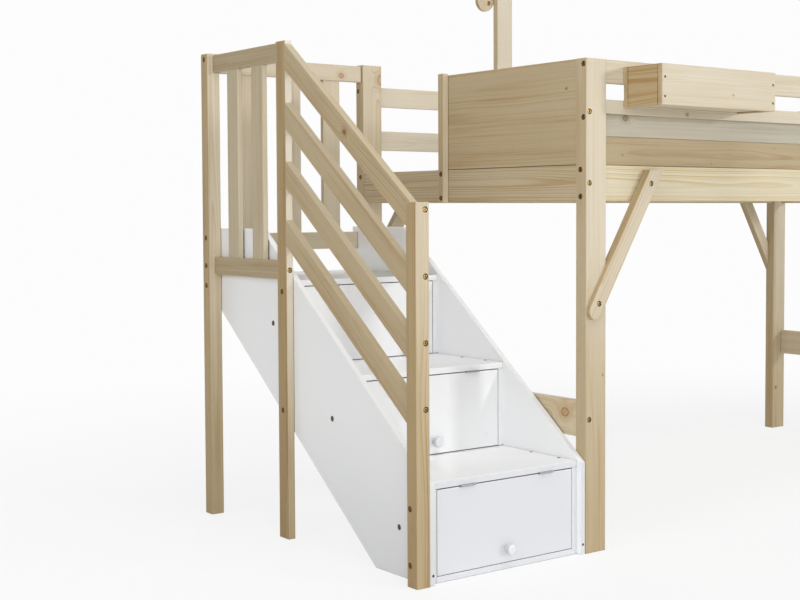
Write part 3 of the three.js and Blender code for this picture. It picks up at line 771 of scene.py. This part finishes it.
def outside_painted_shade(tree, place, normal):
    """Painted shade on the outer face of the left stair panel, darker low down, and on what faces forward
    near the front.
    """
    outward = tree.smooth(tree.math("MULTIPLY", normal[0], -1.0), *FACING_STEP)
    front, _ = front_painted_shade(tree, place, normal)
    lit = tree.smooth(place[2], 0.0, OUTSIDE_SHADE_TO * MM)
    return tree.math("MAXIMUM", outward, front), tree.mix(lit, OUTSIDE_SHADE_LOW, OUTSIDE_SHADE_HIGH)


def landing_painted_shade(tree, place, normal):
    """Painted shade on the landing, which looks greyer from above."""
    return tree.smooth(normal[2], *FACING_STEP), LANDING_SHADE_GREY


def knob_painted_shade(tree, place, normal):
    """A knob with painted shade, whose rim and neck look a shade greyer than its front."""
    front = tree.smooth(tree.math("MULTIPLY", normal[1], -1.0), *KNOB_STEP)
    return 1.0, tree.mix(front, KNOB_RIM_SHADE, KNOB_FRONT_SHADE)


# Metals: the bright colour, the colour of duller patches and the roughness
HINGE_STEEL = (linear(182, 184, 187), linear(132, 134, 138), 0.34)
BRASS = (linear(196, 168, 108), linear(120, 94, 52), 0.26)
# Painted shade: a darker brass for bolts on faces that look left
SHADED_BRASS = (linear(160, 128, 78), linear(84, 62, 36), 0.36)
BRUSHING = (60, 900, 900)
BRUSHED_ROUGHNESS = 0.15
METAL_BUMP = (0.3, 0.05)
PATCH_NOISE = (350.0, 3.0)
PATCH_STEP = (0.4, 0.7)

# Dull dark surfaces: two colours, how many spots there are in a metre, roughness and metal share
# The seats' colour is partly the drilled end grain's own and partly painted shade, and it also colours screw
# and plug heads; the sockets' is painted shadow
SEAT = (linear(52, 36, 22), linear(86, 62, 40), 700.0, 0.8, 0.0)
SOCKET = (linear(36, 28, 20), linear(62, 50, 36), 1200.0, 0.55, 0.6)
# Painted shade: the door-stop strips are dark so that the gaps round the doors look dark
STRIP_SHADE = (linear(48, 49, 53), linear(74, 75, 80), 300.0, 0.8, 0.0)


def metal(name, bright, dull, roughness):
    """Plated metal with fine brushing and duller patches."""
    material, tree = empty_material(name)
    point = tree.point()
    brushed = tree.noise(tree.vector("MULTIPLY", point, BRUSHING), 1.0)
    patches = tree.noise(point, *PATCH_NOISE)
    sockets = {
        "Base Color": tree.mix(tree.smooth(patches, *PATCH_STEP), bright, dull),
        "Metallic": 1.0,
        "Roughness": tree.math("MULTIPLY_ADD", brushed, BRUSHED_ROUGHNESS, roughness),
        "Normal": tree.bump(brushed, *METAL_BUMP),
    }
    finish_material(tree, sockets)
    return material


def mottled(name, first, second, spots, roughness, metallic):
    """A dull dark surface whose colour varies between two."""
    material, tree = empty_material(name)
    color = tree.mix(tree.noise(tree.point(), spots), first, second)
    finish_material(tree, {"Base Color": color, "Metallic": metallic, "Roughness": roughness})
    return material


def paint_white_and_steel():
    # Each lacquer greys some faces with painted shade, as its shading function tells
    white = lacquer("white_lacquer", front_painted_shade)
    knob = lacquer("white_lacquer_knob_shade", knob_painted_shade)
    special = {
        "stair_panel_left": lacquer("white_lacquer_outside_shade", outside_painted_shade),
        "landing_deck": lacquer("white_lacquer_landing_shade", landing_painted_shade, DULL),
        "knob_1": knob,
        "knob_2": knob,
        "knob_3": knob,
    }
    hinge_steel = metal("hinge_steel", *HINGE_STEEL)
    for sub in frame["record"]["subparts"]:
        if sub["material_slot"] == "white_board":
            paint(sub["node"], special.get(sub["node"], white))
        elif sub["material_slot"] == "hinge_steel":
            paint(sub["node"], hinge_steel)


# Strips that the doors shut against, in millimetres
STOP_DEPTH = 8
STOP_HEIGHT = 9
STOP_GAP_FRONT = 0.6
STOP_GAP_SIDE = 0.4
STOP_GAP_TOP = 0.1
COVERS = ("tread_1", "tread_2", "landing_deck")
BLOCK_FACES = [(0, 1, 3, 2), (4, 6, 7, 5), (0, 4, 5, 1), (2, 3, 7, 6), (0, 2, 6, 4), (1, 5, 7, 3)]


def add_door_stops():
    """A strip under each tread, between the panels, that the top of the door shuts against, dark as painted
    shade seen through the door's gap.
    """
    gap_shade_strip = mottled("gap_shade_strip", *STRIP_SHADE)
    left = box_of("stair_panel_left").high.x + STOP_GAP_SIDE
    right = box_of("stair_panel_right").low.x - STOP_GAP_SIDE
    for number, cover in enumerate(COVERS, start=1):
        front = box_of(f"door_{number}").high.y + STOP_GAP_FRONT
        top = box_of(cover).low.z - STOP_GAP_TOP
        depths = (front, front + STOP_DEPTH)
        heights = (top - STOP_HEIGHT, top)
        corners = [at(x, y, z) for x in (left, right) for y in depths for z in heights]
        mesh = bpy.data.meshes.new(f"door_stop_{number}")
        mesh.from_pydata(corners, [], BLOCK_FACES)
        mesh.materials.append(gap_shade_strip)
        strip = add_object(f"door_stop_{number}", mesh)
        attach(strip, BODY)


# Heads of bolts, screws and plugs, in millimetres: radius of the washer and of the domed disc, height,
# rounding of its edge, and the socket's half width and depth
Head = namedtuple("Head", "washer radius height rounding half_flats depth")
BOLT_HEAD = Head(5.7, 5.0, 1.9, 0.9, 2.3, 1.6)
SCREW_HEAD = Head(3.2, 2.9, 0.12, 0.05, 1.2, 0.08)
PLUG_HEAD = Head(4.8, 4.3, 0.4, 0.2, 2.2, 0.3)
WASHER_SHARE = 1 / 8
HEAD_STEPS = 48
ROUNDING_STEPS = 3
WASHER_BANDS = 2
SIXTH_TURN = math.pi / 3


def hexagon_radius(turn, half_flats):
    return half_flats / math.cos((turn + SIXTH_TURN / 2) % SIXTH_TURN - SIXTH_TURN / 2)


def ring_of(build, radius_at, up):
    """A ring of vertices at one height, with its radius worked out for each turn."""
    ring = []
    for step in range(HEAD_STEPS):
        turn = 2 * math.pi * step / HEAD_STEPS
        out = radius_at(turn)
        ring.append(build.verts.new(Vector((out * math.cos(turn), out * math.sin(turn), up)) * MM))
    return ring


def head_mesh(name, head, *materials):
    """A domed head on a washer of painted shadow, pointing along +Z from its underside; the socket is
    painted shadow too.
    """
    washer_top = head.height * WASHER_SHARE
    outline = [(head.washer, 0), (head.washer, washer_top), (head.radius, washer_top)]
    for step in range(ROUNDING_STEPS + 1):
        turn = math.pi / 2 * step / ROUNDING_STEPS
        inward = head.rounding * (1 - math.cos(turn))
        downward = head.rounding * (1 - math.sin(turn))
        outline.append((head.radius - inward, head.height - downward))
    build = bmesh.new()
    rings = [ring_of(build, lambda turn, out=out: out, up) for out, up in outline]
    for up in (head.height, head.height - head.depth):
        rings.append(ring_of(build, lambda turn: hexagon_radius(turn, head.half_flats), up))
    socket_wall = len(outline)
    for number, (lower, upper) in enumerate(zip(rings, rings[1:])):
        for step in range(HEAD_STEPS):
            after = (step + 1) % HEAD_STEPS
            face = build.faces.new((lower[step], lower[after], upper[after], upper[step]))
            face.smooth = WASHER_BANDS < number < socket_wall - 1
            # The washer and the socket's walls and floor take the second material, a painted shadow
            face.material_index = int(number < WASHER_BANDS or number == socket_wall)
    build.faces.new(rings[-1]).material_index = 1
    build.faces.new(list(reversed(rings[0])))
    mesh = bpy.data.meshes.new(name)
    build.to_mesh(mesh)
    build.free()
    for material in materials:
        mesh.materials.append(material)
    return mesh


# Where heads are, in millimetres: heights above the floor, unless the name says from what
NEWEL_BOLTS = (51, 182)
NEWEL_BOLT_FROM_BACK = 12
HANDRAIL_BOLT_ABOVE_FOOT = 55
RAILING_TOP_BOLT = 1289
RAILING_FOOT_BOLT = 709
LANDING_BOLT = 652.5
MIDDLE_POST_BOLT = 340
BACK_POST_BOLT = 787
PANEL_BOLT = 117
PANEL_BOLT_FROM_FRONT = 123
RAIL_BOLT_FROM_EDGE = 12
GUARD_BOLT_FROM_TOP = 14
LOWER_GUARD_BOLTS = {"front": 1095, "back": 1078}
GUARDS = {"front": "guard_front_top_rail", "back": "guard_back_upper_slat"}
ARM_BOLT_FROM_POST = 18.5
ARM_BOLT_FROM_TOP = 122
BRACE_FOOT = 611
BRACE_FOOT_FROM_END = 22
BRACE_BOLTS_ALONG = (22, 375.1)
TRAY_SCREWS_FROM_ENDS = (10.4, 10.6)
TRAY_SCREWS_FROM_FLOOR = (69, 21)
PANEL_SCREWS = {"stair_panel_left": (9.7, 24), "stair_panel_right": (23.7, 25)}
PLUG_FROM_PANEL = 9
PLUGS_FROM_NOSE = {"tread_1": (57, 164), "tread_2": (63, 166)}

SEAT_DEPTH = 2.5


def rail_bolts():
    """The heights of the two bolts in a side rail."""
    rail = box_of("side_rail_front")
    return rail.low.z + RAIL_BOLT_FROM_EDGE, rail.high.z - RAIL_BOLT_FROM_EDGE


def heads_on_railings():
    """Bolts of the staircase's railings: each seat's place in millimetres, and the way it faces."""
    front, middle, back = (box_of(f"stair_post_{place}") for place in ("front", "middle", "back"))
    rails = [box_of(node) for node in HANDRAIL_SEEDS]
    railing = box_of("landing_side_railing")
    newel_y = front.high.y - NEWEL_BOLT_FROM_BACK
    back_bolts = (RAILING_TOP_BOLT, BACK_POST_BOLT, RAILING_FOOT_BOLT, LANDING_BOLT)
    return {
        "handrail_bolt": [
            ((rail.middle.x, front.low.y, rail.low.z + HANDRAIL_BOLT_ABOVE_FOOT), FRONT) for rail in rails
        ],
        "newel_bolt": [((front.low.x, newel_y, z), LEFT) for z in NEWEL_BOLTS],
        "middle_post_bolt": [
            ((middle.low.x, middle.middle.y, z), LEFT) for z in (LANDING_BOLT, MIDDLE_POST_BOLT)
        ],
        "middle_post_front_bolt": [((middle.middle.x, middle.low.y, RAILING_FOOT_BOLT), FRONT)],
        "back_post_bolt": [((back.low.x, back.middle.y, z), LEFT) for z in back_bolts],
        "back_post_rear_bolt": [
            ((railing.middle.x, back.high.y, z), BACK) for z in (RAILING_TOP_BOLT, RAILING_FOOT_BOLT)
        ],
    }


def heads_on_panels():
    """Bolts of the stair panels, one to each step, and of the entry post and the arm."""
    steps = [box_of(cover) for cover in COVERS]
    places = [
        (PANEL_BOLT_FROM_FRONT + step.low.y - steps[0].low.y, PANEL_BOLT + step.high.z - steps[0].high.z)
        for step in steps
    ]
    left = box_of("stair_panel_left").low.x
    right = box_of("stair_panel_right").high.x
    entry = box_of("entry_post")
    post = box_of("tall_post")
    arm_x = post.low.x - ARM_BOLT_FROM_POST
    arm_z = post.high.z - ARM_BOLT_FROM_TOP
    return {
        "left_panel_bolt": [((left, y, z), LEFT) for y, z in places],
        "right_panel_bolt": [((right, y, z), RIGHT) for y, z in places],
        "entry_post_bolt": [((entry.low.x, entry.middle.y, z), LEFT) for z in rail_bolts()],
        "arm_bolt": [((arm_x, box_of("tall_post_arm").low.y, arm_z), FRONT)],
    }


def heads_on_corner(end, outwards, side, facing):
    """Bolts of one corner of the bed: in its rail and guard, in its end, and in its brace."""
    post = box_of(f"bed_post_{side}_{end}")
    rail = box_of(f"side_rail_{side}")
    guard = box_of(GUARDS[side])
    end_rail = box_of(f"end_rail_{end}")
    panel = box_of(f"end_panel_{end}")
    brace = box_of(f"knee_brace_{side}_{end}")
    end_x = face_of(post, outwards)
    side_y = face_of(post, facing)
    lengthwise = [(rail.middle.y, z) for z in rail_bolts()]
    guard_top = box_of(GUARDS["front"]).high.z
    lengthwise += [(guard.middle.y, z) for z in (LOWER_GUARD_BOLTS[side], guard_top - GUARD_BOLT_FROM_TOP)]
    heights = [box_of(f"cross_rail_{end}").middle.z, end_rail.middle.z]
    if (end, side) != ("left", "back"):
        heights.append((end_rail.high.z + panel.high.z) / 2)
    braced = [
        (
            end_x - outwards.x * (BRACE_FOOT_FROM_END + along * math.cos(BRACE_LEAN)),
            BRACE_FOOT + along * math.sin(BRACE_LEAN),
        )
        for along in BRACE_BOLTS_ALONG
    ]
    return {
        f"{side}_{end}_rail_bolt": [((end_x, y, z), outwards) for y, z in lengthwise],
        f"{side}_{end}_end_bolt": [((panel.middle.x, side_y, z), facing) for z in heights],
        f"{side}_{end}_brace_bolt": [((x, face_of(brace, facing), z), facing) for x, z in braced],
    }


def bolts():
    places = heads_on_railings() | heads_on_panels()
    for end, outwards in (("left", LEFT), ("right", RIGHT)):
        for side, facing in (("front", FRONT), ("back", BACK)):
            places |= heads_on_corner(end, outwards, side, facing)
    return places


def screws():
    """Screws in the tray's front and at the feet of the stair panels."""
    tray = box_of("tray_walls")
    left, right = TRAY_SCREWS_FROM_ENDS
    across = (tray.low.x + left, tray.high.x - right)
    heights = [tray.low.z + up for up in TRAY_SCREWS_FROM_FLOOR]
    panels = [(box_of(node), place) for node, place in PANEL_SCREWS.items()]
    return {
        "tray_screw": [((x, tray.low.y, z), FRONT) for x in across for z in heights],
        "panel_screw": [((panel.low.x + x, panel.low.y, z), FRONT) for panel, (x, z) in panels],
    }


def plugs():
    """Plugs over the dowels of the treads, along their right edges."""
    places = {}
    for tread, offsets in PLUGS_FROM_NOSE.items():
        box = box_of(tread)
        x = box.high.x - PLUG_FROM_PANEL
        places[f"{tread}_plug"] = [((x, box.low.y + offset, box.high.z), UP) for offset in offsets]
    return places


# Where the faces of a drilled seat lie, in millimetres from the middle of its mouth
SEAT_MARGIN = 10
SEAT_SHALLOWEST = 0.3
SEAT_DEEPEST = 2.7
SEAT_ACROSS = 7.4


def paint_seat_shade(groups, dark):
    """Gives the walls and floors of the seats a dark material, partly the drilled end grain's own colour and
    partly painted shade, found by their depth below the face.
    """
    seats = [(at(*place), facing) for places in groups.values() for place, facing in places]
    margin = SEAT_MARGIN * MM
    for sub in frame["record"]["subparts"]:
        low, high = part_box(sub["node"])
        data = frame["nodes"][sub["node"]].data
        near = [
            (place, facing)
            for place, facing in seats
            if all(low[i] - margin < place[i] < high[i] + margin for i in range(3))
        ]
        if sub["material_slot"] == "hinge_steel" or not near:
            continue
        slot = len(data.materials)
        data.materials.append(dark)
        for polygon in data.polygons:
            for place, facing in near:
                away = polygon.center - place
                depth = -away.dot(facing)
                across = (away + facing * depth).length
                in_seat = SEAT_SHALLOWEST * MM < depth < SEAT_DEEPEST * MM
                if in_seat and across < SEAT_ACROSS * MM:
                    polygon.material_index = slot


def add_heads():
    """Bolt heads stand in drilled seats, and screws and plugs lie on the surface."""
    dark = mottled("seat_shade_and_dark_heads", *SEAT)
    socket = mottled("socket_shadow", *SOCKET)
    bolt = head_mesh("bolt_head", BOLT_HEAD, metal("brass", *BRASS), socket)
    shaded_bolt = head_mesh("side_bolt_head", BOLT_HEAD, metal("shaded_brass", *SHADED_BRASS), socket)
    screw = head_mesh("screw_head", SCREW_HEAD, dark, socket)
    plug = head_mesh("plug_head", PLUG_HEAD, dark, socket)
    bolt_places = bolts()
    paint_seat_shade(bolt_places, dark)
    sets = ((bolt, SEAT_DEPTH, bolt_places), (screw, 0, screws()), (plug, 0, plugs()))
    for mesh, sunk, groups in sets:
        for name, places in groups.items():
            for number, (place, facing) in enumerate(places, start=1):
                # Bolts on faces that look left get the darker brass, as painted shade
                shown = shaded_bolt if mesh is bolt and facing is LEFT else mesh
                head = add_object(f"{name}_{number}", shown)
                turn = facing.to_track_quat("Z", "Y").to_matrix().to_4x4()
                head.matrix_world = Matrix.Translation(at(*place) - facing * sunk * MM) @ turn
                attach(head, BODY)


# Camera, solved from the long edges in the photo: its place in millimetres and its turns in radians
CAMERA_PLACE = (-1816, -2499, 870)
CAMERA_YAW = 0.6621
CAMERA_PITCH = 0.0468
CAMERA_ROLL = -0.0028
FOCAL_PIXELS = 1370.89
VIEW_CENTRE = (461.8, 272.22)
PHOTO_WIDTH = 800
PHOTO_HEIGHT = 600
SENSOR_WIDTH = 36


def place_camera():
    camera = add_object("camera", bpy.data.cameras.new("camera"))
    level_forward = Vector((math.sin(CAMERA_YAW), math.cos(CAMERA_YAW), 0))
    forward = level_forward * math.cos(CAMERA_PITCH) - UP * math.sin(CAMERA_PITCH)
    level = Vector((math.cos(CAMERA_YAW), -math.sin(CAMERA_YAW), 0))
    upright = level.cross(forward)
    right = math.cos(CAMERA_ROLL) * level + math.sin(CAMERA_ROLL) * upright
    up = math.cos(CAMERA_ROLL) * upright - math.sin(CAMERA_ROLL) * level
    turn = Matrix((right, up, -forward)).transposed().to_4x4()
    camera.matrix_world = Matrix.Translation(at(*CAMERA_PLACE)) @ turn
    camera.data.sensor_width = SENSOR_WIDTH
    camera.data.lens = FOCAL_PIXELS / PHOTO_WIDTH * SENSOR_WIDTH
    camera.data.shift_x = (PHOTO_WIDTH / 2 - VIEW_CENTRE[0]) / PHOTO_WIDTH
    camera.data.shift_y = (VIEW_CENTRE[1] - PHOTO_HEIGHT / 2) / PHOTO_WIDTH
    bpy.context.scene.camera = camera


# Lamps: place and aim in metres from the middle of the bed's floor, size in metres, and power
LAMPS = {
    "key_light": ((4.0, -8.4, 2.4), (-0.2, 0, 0.6), 0.9, 195),
    "front_fill": ((-5.4, -6.2, 2.6), (-0.6, 0, 0.6), 3.5, 118),
    "top_light": ((-1.2, -2.6, 7.0), (-0.7, 0, 0.4), 3.5, 168),
    "left_fill": ((-8.0, -2.0, 3.0), (-0.4, 0, 0.5), 3.5, 112),
    "back_light": ((1.5, 6.5, 4.0), (0, 0, 0.7), 3.5, 110),
}

# The white that the camera sees behind the bed, and the light from all round
SEEN_COLOR = (1, 1, 1, 1)
SEEN_STRENGTH = 0.98
SKY_COLOR = (0.96, 0.98, 1, 1)
SKY_STRENGTH = 0.34

# The floor: half its width and where it fades into white, in metres, and its depth in millimetres
FLOOR_HALF = 30
FLOOR_FADE = (1.2, 3.6, 0.8, 1.0)
FLOOR_DROP = 0.5
PAPER_DARK = (0.91, 0.91, 0.91, 1)
PAPER_LIGHT = (0.93, 0.93, 0.93, 1)
PAPER_SPOTS = 40.0


def add_lamps():
    for name, (place, aim, size, power) in LAMPS.items():
        lamp = bpy.data.lights.new(name, "AREA")
        lamp.shape = "SQUARE"
        lamp.size = size
        lamp.energy = power
        holder = add_object(name, lamp)
        holder.location = place
        way = Vector(aim) - Vector(place)
        holder.rotation_euler = way.to_track_quat("-Z", "Y").to_euler()


def seen_by_eye(tree):
    """One for rays from the camera, also by way of metal or glass, and nought for others."""
    paths = tree.add("ShaderNodeLightPath").outputs
    shown = tree.math("ADD", paths["Is Camera Ray"], paths["Is Glossy Ray"])
    return tree.math("ADD", shown, paths["Is Transmission Ray"], clamp=True)


def light_sky():
    """A white world for the eye, and a soft one for light."""
    world = bpy.data.worlds.new("studio")
    bpy.context.scene.world = world
    world.use_nodes = True
    world.node_tree.nodes.clear()
    tree = Tree(world.node_tree)
    lit = tree.add("ShaderNodeBackground", {"Color": SKY_COLOR, "Strength": SKY_STRENGTH})
    seen = tree.add("ShaderNodeBackground", {"Color": SEEN_COLOR, "Strength": SEEN_STRENGTH})
    both = tree.mix_shaders(seen_by_eye(tree), lit, seen)
    tree.add("ShaderNodeOutputWorld", {"Surface": both})


def floor_paper():
    """Pale paper that fades into the white background away from the bed."""
    material, tree = empty_material("floor_paper")
    point = tree.point()
    fade = tree.smooth(tree.vector("LENGTH", point), *FLOOR_FADE)
    color = tree.mix(tree.noise(point, PAPER_SPOTS), PAPER_DARK, PAPER_LIGHT)
    paper = tree.add("ShaderNodeBsdfDiffuse", {"Color": color})
    glow = tree.add("ShaderNodeEmission", {"Color": SEEN_COLOR, "Strength": SEEN_STRENGTH})
    both = tree.mix_shaders(tree.math("MULTIPLY", fade, seen_by_eye(tree)), paper, glow)
    tree.add("ShaderNodeOutputMaterial", {"Surface": both})
    return material


def add_floor():
    mesh = bpy.data.meshes.new("floor")
    turns = ((-1, -1), (1, -1), (1, 1), (-1, 1))
    corners = [(x * FLOOR_HALF, y * FLOOR_HALF, 0) for x, y in turns]
    mesh.from_pydata(corners, [], [tuple(range(len(corners)))])
    mesh.materials.append(floor_paper())
    floor = add_object("floor", mesh)
    floor.location.z = -FLOOR_DROP * MM


bpy.context.scene.view_settings.view_transform = "Standard"
place_camera()
paint_pine()
paint_white_and_steel()
add_door_stops()
add_heads()
add_lamps()
light_sky()
add_floor()
